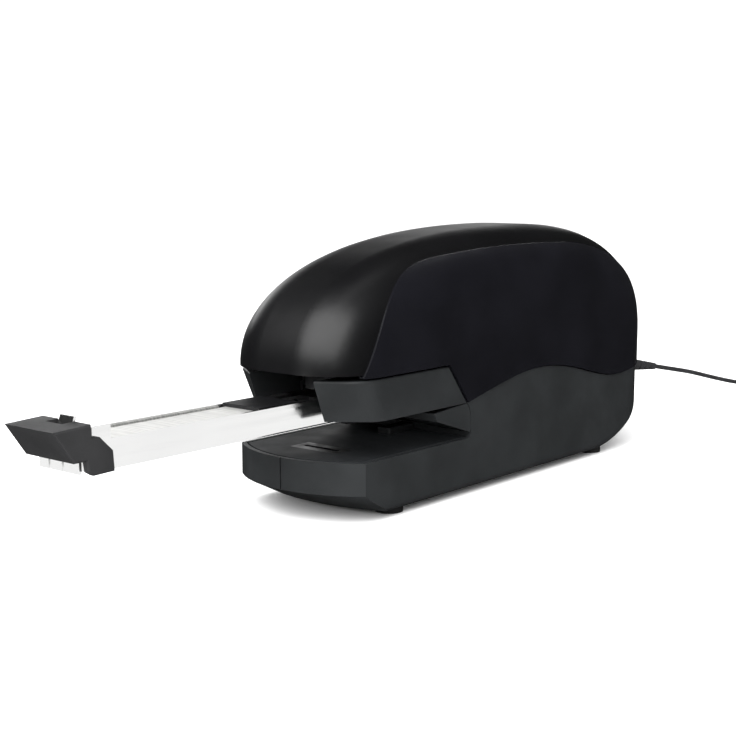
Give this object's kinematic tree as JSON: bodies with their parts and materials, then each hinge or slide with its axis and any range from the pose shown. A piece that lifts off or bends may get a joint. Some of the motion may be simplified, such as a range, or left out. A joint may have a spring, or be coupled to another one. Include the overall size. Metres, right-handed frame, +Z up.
{
  "type": "electric desktop stapler",
  "caption": "Electric desktop stapler with rounded gloss hood, dark base with paper throat, and a bright front-loading staple drawer drawn open; thin power lead at the rear",
  "frame": {"origin": "on the desk under the middle of the body, on the middle foot", "axes": "+Z up, +Y from the nose to the rear, +X to the right"},
  "size_m": [0.0508, 0.529, 0.0823],
  "materials": {
    "hood_gloss": "gloss black moulding",
    "side_panel_gloss": "gloss black moulding",
    "body_plastic": "fine satin anthracite",
    "table_plastic": "satin anthracite",
    "anvil_steel": "blackened steel",
    "handle_plastic": "satin dark grey",
    "rubber": "soft rubber",
    "magazine_steel": "bright plated sheet",
    "inner_steel": "plain zinc plated steel",
    "staples": "glued staple wire",
    "pusher_plastic": "black acetal",
    "gear_plastic": "natural acetal",
    "board": "green board",
    "jack_plastic": "black",
    "cord_jacket": "dark grey cord jacket",
    "adapter_plastic": "black moulding",
    "pin_metal": "nickel plated"
  },
  "bodies": {
    "housing": {"base_shell": "body_plastic", "table_plate": "table_plastic", "anvil": "anvil_steel", "depth_stop": "body_plastic", "left_paper_stop": "body_plastic", "right_paper_stop": "body_plastic", "nose_frame": "body_plastic", "hood": "hood_gloss", "right_side_panel": "side_panel_gloss", "left_side_panel": "side_panel_gloss", "rubber_feet": "rubber", "cover_screws": "inner_steel", "chassis_right": "inner_steel", "chassis_left": "inner_steel", "head_shaft": "inner_steel", "lever_shaft": "inner_steel", "gear_studs": "inner_steel", "head_return_spring": "inner_steel", "motor_can": "inner_steel", "motor_bracket": "inner_steel", "trigger_pin": "inner_steel", "trigger_switch": "pusher_plastic", "circuit_board": "board", "board_parts": "board", "dc_jack": "jack_plastic", "jack_bracket": "inner_steel", "power_plug": "cord_jacket", "cord_lead": "cord_jacket", "cord_tail": "cord_jacket", "cord_coil": "cord_jacket", "cord_tie": "cord_jacket", "adapter_case": "adapter_plastic", "adapter_pins": "pin_metal"},
    "head": {"magazine_guide": "pusher_plastic", "driver_guide": "pusher_plastic", "driver_spring": "inner_steel"},
    "drawer": {"magazine_channel": "magazine_steel", "magazine_nose": "magazine_steel", "staple_rail": "inner_steel", "pusher_rod": "inner_steel", "pusher_spring": "inner_steel", "staple_strip": "staples", "magazine_handle": "handle_plastic", "latch_pin": "inner_steel"},
    "latch": {"latch_lever": "magazine_steel"},
    "pusher_block": {"pusher": "pusher_plastic"},
    "driver": {"driver_blade": "inner_steel", "driver_block": "inner_steel", "driver_pin": "inner_steel"},
    "lever": {"drive_lever": "inner_steel", "link_pin": "inner_steel"},
    "link": {"crank_link": "inner_steel"},
    "crank": {"crank_gear": "gear_plastic", "crank_pin": "inner_steel"},
    "idler_2": {"idler_gear_2": "gear_plastic"},
    "idler_1": {"idler_gear_1": "gear_plastic"},
    "motor_rotor": {"motor_pinion": "gear_plastic", "motor_shaft": "inner_steel"},
    "trigger": {"trigger_lever": "pusher_plastic"}
  },
  "joints": [
    {"name": "head_tilt", "type": "hinge", "parent": "housing", "child": "head", "pos_m": [0, 0.052, 0.0315], "axis": [1, 0, 0], "range_deg": [0, 3.6], "stiffness_Nm_per_rad": 0.6, "springref_deg": -34.38},
    {"name": "magazine_slide", "type": "slide", "parent": "head", "child": "drawer", "axis": [0, 1, 0], "range_m": [0, 0.086]},
    {"name": "latch_tilt", "type": "hinge", "parent": "drawer", "child": "latch", "pos_m": [0, -0.1669, 0.0328], "axis": [1, 0, 0], "range_deg": [-4, 0], "stiffness_Nm_per_rad": 0.02, "springref_deg": 17.19},
    {"name": "pusher_slide", "type": "slide", "parent": "drawer", "child": "pusher_block", "axis": [0, -1, 0], "range_m": [0, 0.05], "deforming": ["staple_strip"]},
    {"name": "driver_drop", "type": "slide", "parent": "head", "child": "driver", "axis": [0, 0, -1], "range_m": [0, 0.0087], "deforming": ["driver_spring"]},
    {"name": "lever_swing", "type": "hinge", "parent": "housing", "child": "lever", "pos_m": [0, -0.018, 0.0605], "axis": [1, 0, 0], "range_deg": [0, 16.5]},
    {"name": "link_swing", "type": "hinge", "parent": "lever", "child": "link", "pos_m": [0, 0.0082, 0.066], "axis": [1, 0, 0], "range_deg": [-5.2, 0]},
    {"name": "crank_spin", "type": "hinge", "parent": "housing", "child": "crank", "pos_m": [0, 0.0082, 0.0565], "axis": [1, 0, 0], "continuous": true},
    {"name": "idler_2_spin", "type": "hinge", "parent": "housing", "child": "idler_2", "pos_m": [0, 0.02896, 0.05055], "axis": [1, 0, 0], "continuous": true},
    {"name": "idler_1_spin", "type": "hinge", "parent": "housing", "child": "idler_1", "pos_m": [0, 0.04751, 0.05552], "axis": [1, 0, 0], "continuous": true},
    {"name": "motor_spin", "type": "hinge", "parent": "housing", "child": "motor_rotor", "pos_m": [0, 0.0676, 0.05013], "axis": [1, 0, 0], "continuous": true},
    {"name": "trigger_tilt", "type": "hinge", "parent": "housing", "child": "trigger", "pos_m": [0, -0.022, 0.0275], "axis": [1, 0, 0], "range_deg": [0, 6], "stiffness_Nm_per_rad": 0.01, "springref_deg": -22.92}
  ],
  "couplings": [
    {"joint": "driver_drop", "follows": "head_tilt", "m_per_rad": 0.1384},
    {"joint": "lever_swing", "follows": "head_tilt", "ratio": 4.567},
    {"joint": "link_swing", "follows": "head_tilt", "ratio": -1.42},
    {"joint": "idler_2_spin", "follows": "crank_spin", "ratio": -3.5},
    {"joint": "idler_1_spin", "follows": "crank_spin", "ratio": 10.5},
    {"joint": "motor_spin", "follows": "crank_spin", "ratio": -35}
  ]
}
